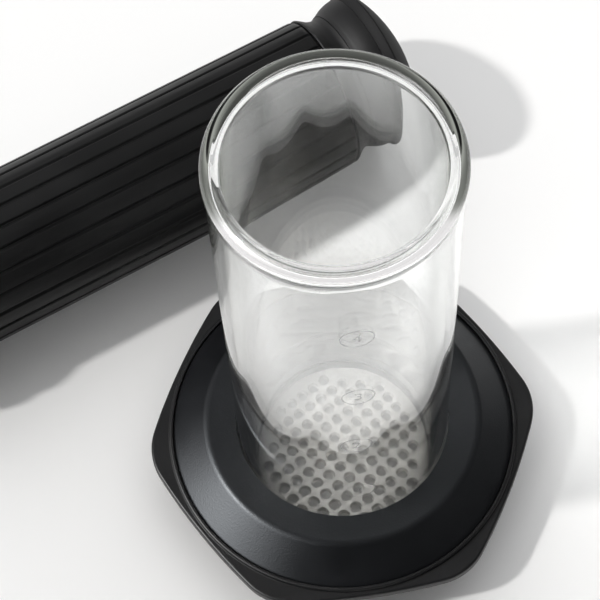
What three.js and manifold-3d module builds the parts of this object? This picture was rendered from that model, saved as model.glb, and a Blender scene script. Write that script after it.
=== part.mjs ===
import * as THREE from 'three';
import { mergeVertices } from 'three/addons/utils/BufferGeometryUtils.js';
import Module from 'manifold-3d';

// Piston coffee press. The glass chamber stands on its perforated filter cap,
// and the plunger has been taken out and lies on the table behind it.
// Lengths are millimetres, +Z is up, and the table is the plane z = 0.

const degree = Math.PI / 180;

// Fits between the pieces
const seatGap = 0.3;
const turnGap = 0.4;
const overrun = 1;

// Round faces: how many flats stand for a circle
const wideFacets = 40;
const slimFacets = 28;
const ringFacets = 24;
const screwFacets = 8;
const holeFacets = 7;

// Glass chamber: two walls joined at a rolled lip, open at the foot. The ribs
// pass through its bore with room to spare, and only the seal touches it.
const ribClearance = 3;
const innerWall = 1.2;
const wallSpace = 1.5;
const outerWall = 2.2;
const lipBulge = 0.6;
const lipRound = 3;
const lipDepth = 2.7;
const chamberHeight = 195.1;
const lipSteps = 5;
const archSteps = 3;

// Filter disc: a square lattice of holes turned against the part's axes
const discInset = 0.6;
const discThickness = 2;
const discLift = 3;
const holeRadius = 1.9;
const holePitch = 4.87;
const holeMargin = 3;
const latticeTurn = 36 * degree;

// Filter cap: skirt, ledge under the disc and inward lugs
const capWall = 2.3;
const capFootWidth = 3.3;
const capLedgeThickness = 1.5;
const capLedgeWidth = 8;
const capEdge = 0.5;
const capLugHeight = 2;
const capLugSpan = 24 * degree;
const gripCount = 24;
const gripRadius = 1.6;
const gripDepth = 0.6;
const gripFacets = 7;

// Chamber base: carries the glass and the flange, and takes the cap
const cupWall = 2;
const cupSideGap = 0.3;
const spigotHeight = 4.4;
const gasketThickness = 0.9;
const gasketInset = 0.5;
const lugCount = 4;
const lugReach = 1.6;
const lugLift = 1.1;
const lugHeight = 2.6;
const lugSpan = 28 * degree;
const lugSteps = 3;
const stopSpan = 3 * degree;
const shoulderReach = 3.8;
const shoulderHeight = 3.2;
const sealGrooveDepth = 1.2;
const sealGrooveHeight = 2;
const sealGrooveDrop = 3.6;

// Hexagonal flange plate: arched sides, round corners, upstanding lip, and a
// recess below for the base's shoulder
const plateLift = 14.3;
const plateThickness = 4.16;
const plateRecess = 1.4;
const sideMargin = 1.67;
const sideArch = 225;
const cornerRound = 20.3;
const plateTurn = -23 * degree;
const plateEdge = 0.8;
const plateSides = 6;
const sideSteps = 4;
const cornerSteps = 5;
const lipWidth = 1.3;
const lipRise = 1.45;
const lipFillet = 0.7;

// Cone on the flange
const coneRun = 13;
const coneGroove = 0.6;
const coneFootRise = 0.75;
const crestReach = 9.1;
const crestRise = 9.74;
const crestRound = 4;
const crestSteps = 3;
const roofDip = 0.8;
const roofThickness = 1.5;
const coneSkin = 2;
const neckWall = 2.2;

// Plunger body: ribbed sleeve over a plain core tube. Its radius is the size that
// the bore, and with it every round piece of the press, follows.
const ribRadius = 27;
const ribCount = 24;
const ribCrown = 0.12;
const grooveDepth = 0.9;
const grooveWidth = 1.7;
const firstGroove = -3 * degree;
const ribEndLength = 2.4;
const sleeveLength = 159.5;
const sleeveWall = 1.8;
const tubeWall = 1.6;

// Shoulder collar at the handle end of the sleeve
const collarLength = 8.4;
const collarNeckStep = 3;
const collarRimStep = 2.35;
const collarWebThickness = 3;
const collarPlugLength = 7;
const collarPlugWall = 1.8;

// Trumpet of the handle
const trumpetLength = 8;
const trumpetFootStep = 2.05;
const trumpetMouthReach = 0.7;
const trumpetFloor = 2;
const trumpetWall = 1.9;

// Domed cap of the handle
const flareReach = 2.8;
const flareHeight = 2.6;
const flareEdge = 0.5;
const domeRadius = 48;
const domeSteps = 5;
const shellSteps = 3;
const capShell = 2;
const snapLength = 3.4;
const snapWall = 1.6;

// Screws that hold the trumpet on the collar
const screwCount = 3;
const screwInset = 14;
const screwShank = 1.5;
const screwLength = 4.6;
const screwHead = 3.2;
const screwHeadHeight = 2;
const screwSocket = 1.5;
const screwSocketDepth = 1.2;

// Silicone seal
const sealSideGap = 0.2;
const sealLength = 19.7;
const sealFace = 4.3;
const sealBoreStep = 2.7;
const sealCrown = 1.6;
const sealWaistDepth = 0.9;
const sealLipLength = 3.2;
const sealLipLift = 3.4;

// Seal carrier in the end of the core tube
const carrierFlangeStep = 0.4;
const carrierFlangeHeight = 3;
const carrierBead = 0.3;
const carrierBeadLength = 1.4;
const carrierWall = 2.6;
const carrierPlugLength = 10;
const ringSection = 1.7;
const ringHeight = 1.8;
const ringLift = 3;

// Where the plunger lies
const plungerBearing = 28.7 * degree;
const plungerAway = 111.9;
const plungerNear = 124.75;

// Sizes that follow from the ones above
const boreRadius = ribRadius + ribClearance;
const glassRadius = boreRadius + innerWall + wallSpace + outerWall;
const discTop = discLift + discThickness;
const baseBottom = discTop + seatGap;
const cupFloor = baseBottom + spigotHeight;
const glassFoot = cupFloor + seatGap + gasketThickness + seatGap;
const cupInner = glassRadius + cupSideGap;
const baseRadius = cupInner + cupWall;
const discRadius = baseRadius - discInset;
const holeField = boreRadius - holeMargin;
const lugRadius = baseRadius + lugReach;
const capInner = lugRadius + turnGap;
const capOuter = capInner + capWall;
const shoulderRadius = baseRadius + shoulderReach;
const recessRadius = shoulderRadius + seatGap;
const recessTop = plateLift + plateRecess;
const shoulderTop = recessTop - seatGap;
const shoulderBottom = shoulderTop - shoulderHeight;
const capHeight = shoulderBottom - turnGap;
const lugBottom = baseBottom + lugLift;
const lugTop = lugBottom + lugHeight;
const capLugBottom = lugTop + turnGap;
const capLugTop = capLugBottom + capLugHeight;
const plateTop = plateLift + plateThickness;
const plateBore = baseRadius + seatGap;
const coneBottom = plateTop + seatGap;
const crestTop = plateTop + crestRise;
const crestRadius = glassRadius + crestReach;
const lipInner = crestRadius + coneRun;
const lipOuter = lipInner + lipWidth;
const sideDistance = lipOuter + sideMargin;
const coneFoot = lipInner - coneGroove;
const roofInner = glassRadius + seatGap;
const roofTop = crestTop - roofDip;
const roofUnder = roofTop - roofThickness;
const cupTop = roofUnder - seatGap;

const sleeveBore = ribRadius - grooveDepth - sleeveWall;
const tubeRadius = sleeveBore - seatGap;
const tubeInner = tubeRadius - tubeWall;
const carrierFlangeBottom = sealLength + seatGap;
const sleeveStart = carrierFlangeBottom + carrierFlangeHeight + seatGap;
const sleeveEnd = sleeveStart + sleeveLength;
const collarStart = sleeveEnd + seatGap;
const collarEnd = collarStart + collarLength;
const trumpetStart = collarEnd + seatGap;
const trumpetEnd = trumpetStart + trumpetLength;
const capStart = trumpetEnd + seatGap;
const plugRadius = tubeInner - seatGap;
const collarNeck = ribRadius - collarNeckStep;
const collarRim = ribRadius - collarRimStep;
const trumpetFoot = ribRadius - trumpetFootStep;
const trumpetMouth = ribRadius + trumpetMouthReach;
const flareRadius = ribRadius + flareReach;
const screwCircle = ribRadius - screwInset;
const snapRadius = trumpetFoot - trumpetWall - seatGap;
const sealRadius = boreRadius - sealSideGap;
const sealBore = ribRadius - sealBoreStep;
const carrierFlange = ribRadius - carrierFlangeStep;

const wasm = await Module();
wasm.setup();

// Helpers

function arc(centreR, centreZ, radius, from, to, steps) {
  const points = [];
  for (let i = 0; i <= steps; i += 1) {
    const angle = from + ((to - from) * i) / steps;
    points.push([centreR + radius * Math.cos(angle), centreZ + radius * Math.sin(angle)]);
  }
  return points;
}

// A profile of [radius, height] turned about the Z axis. It either closes on
// itself or starts and ends on the axis, and its outer side is walked upwards.
function turned(profile, facets) {
  const points = profile.map(([radius, height]) => new THREE.Vector2(radius, height));
  const [first] = points;
  if (first.x > 0) {
    points.push(first.clone());
  }
  const geometry = new THREE.LatheGeometry(points, facets);
  geometry.rotateX(Math.PI / 2);
  return geometry;
}

// A flat outline of [x, y] raised from one height to another
function raised(outline, bottom, top) {
  const shape = new THREE.Shape(outline.map(([x, y]) => new THREE.Vector2(x, y)));
  const geometry = new THREE.ExtrudeGeometry(shape, { depth: top - bottom, bevelEnabled: false });
  geometry.translate(0, 0, bottom);
  return geometry;
}

// A piece of a ring between two radii, centred on an angle
function sector(inner, outer, middle, span, bottom, top) {
  const outside = arc(0, 0, outer, middle - span / 2, middle + span / 2, lugSteps);
  const inside = arc(0, 0, inner, middle + span / 2, middle - span / 2, lugSteps);
  return raised([...outside, ...inside], bottom, top);
}

function rod(radius, bottom, top, facets) {
  const geometry = new THREE.CylinderGeometry(radius, radius, top - bottom, facets);
  geometry.rotateX(Math.PI / 2);
  geometry.translate(0, 0, (bottom + top) / 2);
  return geometry;
}

function toSolid(geometry) {
  const plain = geometry.clone();
  plain.deleteAttribute('normal');
  plain.deleteAttribute('uv');
  const merged = mergeVertices(plain);
  const triVerts = new Uint32Array(merged.index.array);
  const vertProperties = new Float32Array(merged.attributes.position.array);
  return new wasm.Manifold(new wasm.Mesh({ numProp: 3, vertProperties, triVerts }));
}

function toGeometry(solid) {
  const mesh = solid.getMesh();
  const geometry = new THREE.BufferGeometry();
  geometry.setAttribute('position', new THREE.BufferAttribute(mesh.vertProperties, 3));
  geometry.setIndex(new THREE.BufferAttribute(mesh.triVerts, 1));
  geometry.computeVertexNormals();
  return geometry;
}

function joined(geometry, additions) {
  const solid = additions.reduce((sum, piece) => sum.add(toSolid(piece)), toSolid(geometry));
  return toGeometry(solid);
}

function cut(geometry, tools) {
  const solid = tools.reduce((rest, tool) => rest.subtract(toSolid(tool)), toSolid(geometry));
  return toGeometry(solid);
}

// Rings of points about the Z axis, all of one count, joined from the lowest to
// the highest, with both ends closed by a fan to the axis
function lofted(rings) {
  const count = rings[0].length;
  const last = rings.length - 1;
  const [, , low] = rings[0][0];
  const [, , high] = rings[last][0];
  const positions = [...rings.flat(), [0, 0, low], [0, 0, high]].flat();
  const lowCentre = count * rings.length;
  const highCentre = lowCentre + 1;
  const index = [];
  for (let i = 0; i < count; i += 1) {
    const beside = (i + 1) % count;
    index.push(lowCentre, beside, i);
    for (let j = 0; j < last; j += 1) {
      const a = j * count + i;
      const b = j * count + beside;
      index.push(a, b, b + count, a, b + count, a + count);
    }
    index.push(highCentre, last * count + i, last * count + beside);
  }
  const geometry = new THREE.BufferGeometry();
  geometry.setAttribute('position', new THREE.Float32BufferAttribute(positions, 3));
  geometry.setIndex(index);
  geometry.computeVertexNormals();
  return geometry;
}

function around(count, place) {
  return Array.from({ length: count }, (_, i) => place((2 * Math.PI * i) / count));
}

// Materials

const glass = { color: 0xeef3f1, roughness: 0.03, metalness: 0, transparent: true, opacity: 0.3 };
const blackMetal = { color: 0x1d1e21, roughness: 0.5, metalness: 0.6 };
const blackPlastic = { color: 0x18191b, roughness: 0.6, metalness: 0 };
const steel = { color: 0xb9b7b2, roughness: 0.38, metalness: 1 };
const silicone = { color: 0x232426, roughness: 0.75, metalness: 0 };

function piece(name, geometry, finish) {
  const mesh = new THREE.Mesh(geometry, new THREE.MeshStandardMaterial(finish));
  mesh.name = name;
  return mesh;
}

// Chamber

function glassChamber() {
  const crown = glassRadius + lipBulge - lipRound;
  const innerRound = crown - boreRadius;
  const outerCentre = chamberHeight - lipRound;
  const innerCentre = chamberHeight - innerRound;
  const lipStart = -Math.acos((glassRadius - crown) / lipRound);
  const spaceInner = boreRadius + innerWall;
  const spaceOuter = spaceInner + wallSpace;
  const archRadius = wallSpace / 2;
  const archCentre = chamberHeight - lipDepth - archRadius;
  return turned([
    [boreRadius, glassFoot],
    [spaceInner, glassFoot],
    ...arc(spaceInner + archRadius, archCentre, archRadius, Math.PI, 0, archSteps),
    [spaceOuter, glassFoot],
    [glassRadius, glassFoot],
    ...arc(crown, outerCentre, lipRound, lipStart, Math.PI / 2, lipSteps),
    ...arc(crown, innerCentre, innerRound, Math.PI / 2, Math.PI, lipSteps).slice(1),
  ], wideFacets);
}

// Cup and spigot in one piece, with the shoulder under the flange plate and
// four bayonet lugs, each with the stop that the cap turns against
function chamberBase() {
  const grooveTop = cupTop - sealGrooveDrop;
  const grooveBottom = grooveTop - sealGrooveHeight;
  const grooveRadius = cupInner + sealGrooveDepth;
  const body = turned([
    [boreRadius, baseBottom],
    [baseRadius, baseBottom],
    [baseRadius, shoulderBottom],
    [shoulderRadius, shoulderBottom],
    [shoulderRadius, shoulderTop],
    [baseRadius, shoulderTop],
    [baseRadius, cupTop],
    [cupInner, cupTop],
    [cupInner, grooveTop],
    [grooveRadius, grooveTop],
    [grooveRadius, grooveBottom],
    [cupInner, grooveBottom],
    [cupInner, cupFloor],
    [boreRadius, cupFloor],
  ], wideFacets);
  const root = baseRadius - cupWall / 2;
  const stopTurn = (capLugSpan + stopSpan) / 2 + turnGap / baseRadius;
  const lugs = around(lugCount, (turn) => sector(root, lugRadius, turn, lugSpan, lugBottom, lugTop));
  const stops = around(lugCount, (turn) => {
    const middle = turn + stopTurn;
    return sector(root, lugRadius, middle, stopSpan, lugTop - lugHeight / 2, capLugTop);
  });
  return joined(body, [...lugs, ...stops]);
}

function footGasket() {
  const bottom = cupFloor + seatGap;
  return turned([
    [boreRadius + gasketInset, bottom],
    [glassRadius - seatGap, bottom],
    [glassRadius - seatGap, bottom + gasketThickness],
    [boreRadius + gasketInset, bottom + gasketThickness],
  ], ringFacets);
}

function sideSeal() {
  const top = cupTop - sealGrooveDrop - seatGap;
  const bottom = top - sealGrooveHeight + 2 * seatGap;
  const outer = cupInner + sealGrooveDepth - seatGap;
  return turned([
    [cupInner, bottom],
    [outer, bottom],
    [outer, top],
    [cupInner, top],
  ], wideFacets);
}

// Outline of the plate: each side is an arc about a far centre, each corner an
// arc that meets it without a kink
function plateOutline() {
  const sideCentre = sideDistance - sideArch;
  const halfSide = Math.PI / plateSides;
  const reach = sideArch - cornerRound;
  const across = sideCentre * Math.sin(halfSide);
  const cornerCentre = sideCentre * Math.cos(halfSide) + Math.sqrt(reach * reach - across * across);
  const meet = Math.atan2(
    cornerCentre * Math.sin(halfSide),
    cornerCentre * Math.cos(halfSide) - sideCentre,
  );
  const points = [];
  for (let k = 0; k < plateSides; k += 1) {
    const normal = plateTurn + 2 * halfSide * k;
    const corner = normal + halfSide;
    const sideX = sideCentre * Math.cos(normal);
    const sideY = sideCentre * Math.sin(normal);
    const cornerX = cornerCentre * Math.cos(corner);
    const cornerY = cornerCentre * Math.sin(corner);
    const side = arc(sideX, sideY, sideArch, normal - meet, normal + meet, sideSteps);
    const turn = arc(cornerX, cornerY, cornerRound, normal + meet, corner + halfSide - meet, cornerSteps);
    points.push(...side.slice(0, sideSteps), ...turn.slice(0, cornerSteps));
  }
  return points.map(([x, y]) => new THREE.Vector2(x, y));
}

function hexFlange() {
  const shape = new THREE.Shape(plateOutline());
  const plate = new THREE.ExtrudeGeometry(shape, {
    depth: plateThickness - 2 * plateEdge,
    bevelEnabled: true,
    bevelThickness: plateEdge,
    bevelSize: plateEdge,
    bevelOffset: -plateEdge,
    bevelSegments: 1,
  });
  plate.translate(0, 0, plateLift + plateEdge);
  const lipTop = plateTop + lipRise;
  const sunk = plateTop - plateThickness / 2;
  const lip = turned([
    [lipInner, sunk],
    [lipOuter, sunk],
    [lipOuter, lipTop - lipFillet],
    [lipOuter - lipFillet / 2, lipTop],
    [lipInner, lipTop],
  ], wideFacets);
  const bore = rod(plateBore, plateLift - overrun, plateTop + overrun, wideFacets);
  const recess = rod(recessRadius, plateLift - overrun, recessTop, wideFacets);
  return cut(joined(plate, [lip]), [bore, recess]);
}

// Thin cone that stands inside the plate's lip and holds the plate down on the
// base's shoulder by its inner neck
function flangeCone() {
  const footTop = plateTop + coneFootRise;
  const roundCentre = crestTop - crestRound;
  const run = coneFoot - crestRadius;
  const fall = footTop - roundCentre;
  const tangent = Math.atan2(fall, run) + Math.acos(crestRound / Math.hypot(run, fall));
  const neckInner = plateBore;
  const neckOuter = neckInner + neckWall;
  const slope = Math.PI / 2 - tangent;
  const skinRun = coneSkin / Math.sin(slope);
  return turned([
    [coneFoot, coneBottom],
    [coneFoot, footTop],
    ...arc(crestRadius, roundCentre, crestRound, tangent, Math.PI / 2, crestSteps),
    [roofInner, roofTop],
    [roofInner, roofUnder],
    [neckInner, roofUnder],
    [neckInner, coneBottom],
    [neckOuter, coneBottom],
    [neckOuter, roofUnder],
    [crestRadius, roofUnder],
    [coneFoot - skinRun, coneBottom],
  ], wideFacets);
}

// Filter cap

function capRing() {
  const ledgeTop = discLift - seatGap;
  const ledgeBottom = ledgeTop - capLedgeThickness;
  const body = turned([
    [capOuter - capFootWidth, 0],
    [capOuter - capEdge, 0],
    [capOuter, capEdge],
    [capOuter, capHeight - capEdge],
    [capOuter - capEdge, capHeight],
    [capInner, capHeight],
    [capInner, ledgeTop],
    [capInner - capLedgeWidth, ledgeTop],
    [capInner - capLedgeWidth, ledgeBottom],
    [capOuter - capFootWidth - capEdge, ledgeBottom],
  ], wideFacets);
  const lugTip = baseRadius + turnGap;
  const root = capInner + capWall / 2;
  const lugs = around(lugCount, (turn) => (
    sector(lugTip, root, turn, capLugSpan, capLugBottom, capLugTop)
  ));
  const grips = around(gripCount, (turn) => {
    const grip = rod(gripRadius, -overrun, capHeight + overrun, gripFacets);
    const distance = capOuter + gripRadius - gripDepth;
    grip.translate(distance * Math.cos(turn), distance * Math.sin(turn), 0);
    return grip;
  });
  return cut(joined(body, lugs), grips);
}

function filterDisc() {
  const outline = around(wideFacets, (turn) => (
    new THREE.Vector2(discRadius * Math.cos(turn), discRadius * Math.sin(turn))
  ));
  const shape = new THREE.Shape(outline);
  const reach = Math.ceil(holeField / holePitch);
  for (let row = -reach; row <= reach; row += 1) {
    for (let column = -reach; column <= reach; column += 1) {
      const centre = new THREE.Vector2(row * holePitch, column * holePitch);
      if (centre.length() <= holeField) {
        centre.rotateAround(new THREE.Vector2(), latticeTurn);
        shape.holes.push(new THREE.Path(around(holeFacets, (turn) => new THREE.Vector2(
          centre.x + holeRadius * Math.cos(-turn),
          centre.y + holeRadius * Math.sin(-turn),
        ))));
      }
    }
  }
  const geometry = new THREE.ExtrudeGeometry(shape, { depth: discThickness, bevelEnabled: false });
  geometry.translate(0, 0, discLift);
  return geometry;
}

// Plunger, made upright: the seal's face is at z = 0 and the dome is at the top

function ribbedSleeve() {
  const pitch = (2 * Math.PI) / ribCount;
  const grooveTurn = grooveWidth / ribRadius / 2;
  const grooveRadius = ribRadius - grooveDepth;
  const edgeRadius = ribRadius - ribCrown;
  const section = [
    [0, grooveRadius],
    [grooveTurn, edgeRadius],
    [pitch / 2, ribRadius],
    [pitch - grooveTurn, edgeRadius],
  ];
  const ring = (height, ribShare) => around(ribCount, (turn) => section.map(([angle, radius]) => {
    const r = grooveRadius + (radius - grooveRadius) * ribShare;
    const a = firstGroove + turn + angle;
    return [r * Math.cos(a), r * Math.sin(a), height];
  })).flat();
  const endLengthShares = [0, 0.3, 1];
  const ribShares = [0.2, 0.75, 1];
  const start = endLengthShares.map((share, i) => ring(sleeveStart + share * ribEndLength, ribShares[i]));
  const end = endLengthShares.map((share, i) => ring(sleeveEnd - share * ribEndLength, ribShares[i]));
  const bore = rod(sleeveBore, sleeveStart - overrun, sleeveEnd + overrun, slimFacets);
  return cut(lofted([...start, ...end.reverse()]), [bore]);
}

function coreTube() {
  return turned([
    [tubeInner, sleeveStart],
    [tubeRadius, sleeveStart],
    [tubeRadius, sleeveEnd],
    [tubeInner, sleeveEnd],
  ], slimFacets);
}

function screwHoles(radius, bottom, top) {
  return around(screwCount, (turn) => {
    const hole = rod(radius, bottom - overrun, top + overrun, screwFacets);
    hole.translate(screwCircle * Math.cos(turn), screwCircle * Math.sin(turn), 0);
    return hole;
  });
}

// Shoulder cone, neck, a web that closes the tube and a plug inside it
function sleeveCollar() {
  const webBottom = collarEnd - collarWebThickness;
  const plugInner = plugRadius - collarPlugWall;
  const coneShare = 0.46;
  const coneNarrowShare = 0.8;
  const neckShare = 0.8;
  const coneEnd = collarNeck + (ribRadius - collarNeck) * (1 - coneNarrowShare);
  const body = turned([
    [0, webBottom],
    [plugInner, webBottom],
    [plugInner, sleeveEnd - collarPlugLength],
    [plugRadius, sleeveEnd - collarPlugLength],
    [plugRadius, collarStart],
    [ribRadius, collarStart],
    [coneEnd, collarStart + collarLength * coneShare],
    [collarNeck, collarStart + collarLength * neckShare],
    [collarRim, collarEnd],
    [0, collarEnd],
  ], slimFacets);
  return cut(body, screwHoles(screwShank + seatGap, webBottom, collarEnd));
}

function handleTrumpet() {
  const floorTop = trumpetStart + trumpetFloor;
  const inner = trumpetFoot - trumpetWall;
  const heightShares = [0, 0.25, 0.5, 0.75, 1];
  const swellShares = [0, 0.36, 0.68, 0.89, 1];
  const outside = heightShares.map((share, i) => [
    trumpetFoot + (trumpetMouth - trumpetFoot) * swellShares[i],
    trumpetStart + trumpetLength * share,
  ]);
  const body = turned([
    [0, trumpetStart],
    ...outside,
    [inner, trumpetEnd],
    [inner, floorTop],
    [0, floorTop],
  ], slimFacets);
  return cut(body, screwHoles(screwShank + turnGap, trumpetStart, floorTop));
}

// Dome with the flare's sharp widest edge, hollow, with a ring that snaps into
// the trumpet
function handleCap() {
  const flareZ = capStart + flareHeight;
  const foot = trumpetMouth + (flareRadius - trumpetMouth) / flareHeight * seatGap;
  const middleShare = 0.55;
  const spreadShare = 0.4;
  const edgeTop = flareZ + flareEdge;
  const edge = flareRadius - flareEdge / 4;
  const domeCentre = edgeTop - Math.sqrt(domeRadius * domeRadius - edge * edge);
  const domeStart = Math.asin((edgeTop - domeCentre) / domeRadius);
  const dome = arc(0, domeCentre, domeRadius, domeStart, Math.PI / 2, domeSteps);
  dome[domeSteps][0] = 0;
  const shellRadius = domeRadius - capShell;
  const snapInner = snapRadius - snapWall;
  const shellStart = Math.acos(snapInner / shellRadius);
  const shell = arc(0, domeCentre, shellRadius, Math.PI / 2, shellStart, shellSteps);
  shell[0][0] = 0;
  return turned([
    ...shell,
    [snapInner, capStart - snapLength],
    [snapRadius, capStart - snapLength],
    [snapRadius, capStart],
    [foot, capStart],
    [foot + (flareRadius - foot) * spreadShare, capStart + flareHeight * middleShare],
    [flareRadius, flareZ],
    ...dome,
  ], slimFacets);
}

function handleScrew(turn) {
  const headBottom = trumpetStart + trumpetFloor + seatGap;
  const headTop = headBottom + screwHeadHeight;
  const geometry = turned([
    [0, headBottom - screwLength],
    [screwShank, headBottom - screwLength],
    [screwShank, headBottom],
    [screwHead, headBottom],
    [screwHead, headTop],
    [screwSocket, headTop],
    [screwSocket, headTop - screwSocketDepth],
    [0, headTop - screwSocketDepth],
  ], screwFacets);
  geometry.translate(screwCircle * Math.cos(turn), screwCircle * Math.sin(turn), 0);
  return geometry;
}

// Cup that plugs the core tube, with the spigot that the seal is pushed onto
function sealCarrier() {
  const bottom = sealFace + seatGap;
  const bead = sealBore - seatGap;
  const spigot = bead - carrierBead;
  const flangeTop = carrierFlangeBottom + carrierFlangeHeight;
  const plugTop = flangeTop + carrierPlugLength;
  const ringBottom = flangeTop + ringLift;
  const ringTop = ringBottom + ringHeight + 2 * seatGap;
  const ringFloor = plugRadius - ringSection - seatGap;
  const inner = ringFloor - carrierWall / 2;
  return turned([
    [0, bottom],
    [spigot, bottom],
    [bead, bottom + carrierBeadLength / 2],
    [spigot, bottom + carrierBeadLength],
    [spigot, carrierFlangeBottom],
    [carrierFlange, carrierFlangeBottom],
    [carrierFlange, flangeTop],
    [plugRadius, flangeTop],
    [plugRadius, ringBottom],
    [ringFloor, ringBottom],
    [ringFloor, ringTop],
    [plugRadius, ringTop],
    [plugRadius, plugTop],
    [inner, plugTop],
    [inner, bottom + carrierWall],
    [0, bottom + carrierWall],
  ], slimFacets);
}

function carrierRing() {
  const bottom = carrierFlangeBottom + carrierFlangeHeight + ringLift + seatGap;
  return turned([
    [plugRadius - ringSection, bottom],
    [plugRadius, bottom],
    [plugRadius, bottom + ringHeight],
    [plugRadius - ringSection, bottom + ringHeight],
  ], slimFacets);
}

// Hollow silicone cup with a crowned face and two sealing lips round a waist
function plungerSeal() {
  const waist = sealRadius - sealWaistDepth;
  const upperLip = sealLength - sealLipLift;
  return turned([
    [0, 0],
    [sealBore / 2, sealCrown / 4],
    [sealBore, sealCrown],
    [waist, sealLipLift / 2 + sealCrown / 2],
    [sealRadius, sealLipLift],
    [sealRadius, sealLipLift + sealLipLength / 2],
    [waist, sealLipLift + sealLipLength],
    [waist, upperLip - sealLipLength],
    [sealRadius, upperLip - sealLipLength / 2],
    [sealRadius, upperLip],
    [waist - sealWaistDepth, sealLength],
    [sealBore, sealLength],
    [sealBore, sealFace],
    [0, sealFace],
  ], slimFacets);
}

// Assembly

const chamber = new THREE.Group();
chamber.add(
  piece('glass_chamber', glassChamber(), glass),
  piece('chamber_base', chamberBase(), blackPlastic),
  piece('foot_gasket', footGasket(), silicone),
  piece('side_seal', sideSeal(), silicone),
  piece('hex_flange', hexFlange(), blackMetal),
  piece('flange_cone', flangeCone(), blackMetal),
  piece('cap_ring', capRing(), blackPlastic),
  piece('filter_disc', filterDisc(), steel),
);

const plunger = new THREE.Group();
plunger.add(
  piece('ribbed_sleeve', ribbedSleeve(), blackMetal),
  piece('core_tube', coreTube(), blackPlastic),
  piece('sleeve_collar', sleeveCollar(), blackMetal),
  piece('handle_trumpet', handleTrumpet(), blackMetal),
  piece('handle_cap', handleCap(), blackMetal),
  piece('seal_carrier', sealCarrier(), blackPlastic),
  piece('carrier_o_ring', carrierRing(), silicone),
  piece('plunger_seal', plungerSeal(), silicone),
  ...around(screwCount, (turn) => handleScrew(turn)).map((screw, i) => (
    piece(`handle_screw_${i + 1}`, screw, steel)
  )),
);

// The plunger rests on the table at the seal's lips and at the flare
const sealContact = sealLipLift;
const flareContact = capStart + flareHeight;
const tilt = Math.atan2(flareRadius - sealRadius, flareContact - sealContact);
const tipHeight = sealRadius * Math.cos(tilt) - sealContact * Math.sin(tilt);
plunger.rotation.y = Math.PI / 2 - tilt;
plunger.position.set(-plungerNear, plungerAway, tipHeight);
const laid = new THREE.Group();
laid.rotation.z = plungerBearing;
laid.add(plunger);

const press = new THREE.Group();
press.add(chamber, laid);

// The origin is on the table, in the middle of the ground that the set covers
press.updateMatrixWorld(true);
const reach = new THREE.Box3().setFromObject(press, true);
const middle = reach.getCenter(new THREE.Vector3());
press.position.set(-middle.x, -middle.y, -reach.min.z);

const group = new THREE.Group();
group.add(press);

export default group;
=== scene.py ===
import math

import bmesh
import bpy
from mathutils import Matrix, Vector
from mathutils.geometry import delaunay_2d_cdt


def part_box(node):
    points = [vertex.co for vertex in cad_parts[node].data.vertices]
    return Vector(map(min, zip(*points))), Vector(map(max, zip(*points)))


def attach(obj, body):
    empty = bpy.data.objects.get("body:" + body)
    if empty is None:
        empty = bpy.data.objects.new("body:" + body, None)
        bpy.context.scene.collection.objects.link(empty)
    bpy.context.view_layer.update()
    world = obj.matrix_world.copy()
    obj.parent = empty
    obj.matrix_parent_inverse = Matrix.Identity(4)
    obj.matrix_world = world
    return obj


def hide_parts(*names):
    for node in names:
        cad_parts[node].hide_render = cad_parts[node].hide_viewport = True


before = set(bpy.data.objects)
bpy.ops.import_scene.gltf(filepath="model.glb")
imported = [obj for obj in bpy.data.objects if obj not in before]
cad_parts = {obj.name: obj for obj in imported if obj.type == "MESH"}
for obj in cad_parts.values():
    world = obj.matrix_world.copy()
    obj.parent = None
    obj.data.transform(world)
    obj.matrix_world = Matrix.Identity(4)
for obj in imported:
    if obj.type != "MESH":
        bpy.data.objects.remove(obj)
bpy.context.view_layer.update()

# Piston coffee press: a double-walled glass chamber standing on its perforated
# filter cap, and the ribbed plunger lying on the table behind it.
# Sizes are in millimetres; those of light, camera and node trees are in metres.

MM = 0.001

# Steps round a turned piece, and how close a row holds the end of a straight run
WIDE_STEPS = 192
SLIM_STEPS = 128
HOLD = 0.25

# Glass chamber: radii, and heights above the table
BORE = 30.0
INNER_WALL = 31.2
OUTER_SPACE = 32.7
GLASS = 34.9
GLASS_FOOT = 11.2
FOOT_ROUND_IN = 0.9
FOOT_ROUND_OUT = 0.8
CHAMBER_TOP = 195.1
LIP = 35.5
LIP_ROUND = 3.3
LIP_INNER_FALL = 4.2
LIP_DEPTH = 2.9
LIP_BLEND = 0.18
# The outside swells into the lip: (below the top, outwards)
LIP_SWELL = ((9.0, 0.0), (7.8, 0.02), (6.6, 0.08))

# Hexagonal flange
PLATE_LOW = 14.3
PLATE_TOP = 18.46
PLATE_BORE = 37.5
PLATE_EDGE = 0.8
SIDE_DISTANCE = 59.95
SIDE_ARCH = 225.0
CORNER_ROUND = 20.3
PLATE_TURN = math.radians(-23)
LIP_RING_IN = 57.0
LIP_RING_OUT = 58.3
LIP_RING_TOP = 19.91

# Cone on the flange
CONE_SEAT = PLATE_TOP + 0.3
CONE_FOOT = 56.8
CONE_FOOT_TOP = PLATE_TOP + 0.75
CONE_FOOT_ROUND = 0.4
CONE_CREST = 44.0
CONE_TOP = 28.2
CONE_BEND = 4.0
CONE_DIP = (40.0, 27.85)
CONE_MOUTH = 35.2
CONE_MOUTH_TOP = 26.9
CONE_MOUTH_ROUND = 0.5
CONE_NECK_IN = 37.5
CONE_NECK_OUT = 39.7
CONE_ROOF = 25.9
CONE_SKIN_FOOT = 53.2

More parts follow.
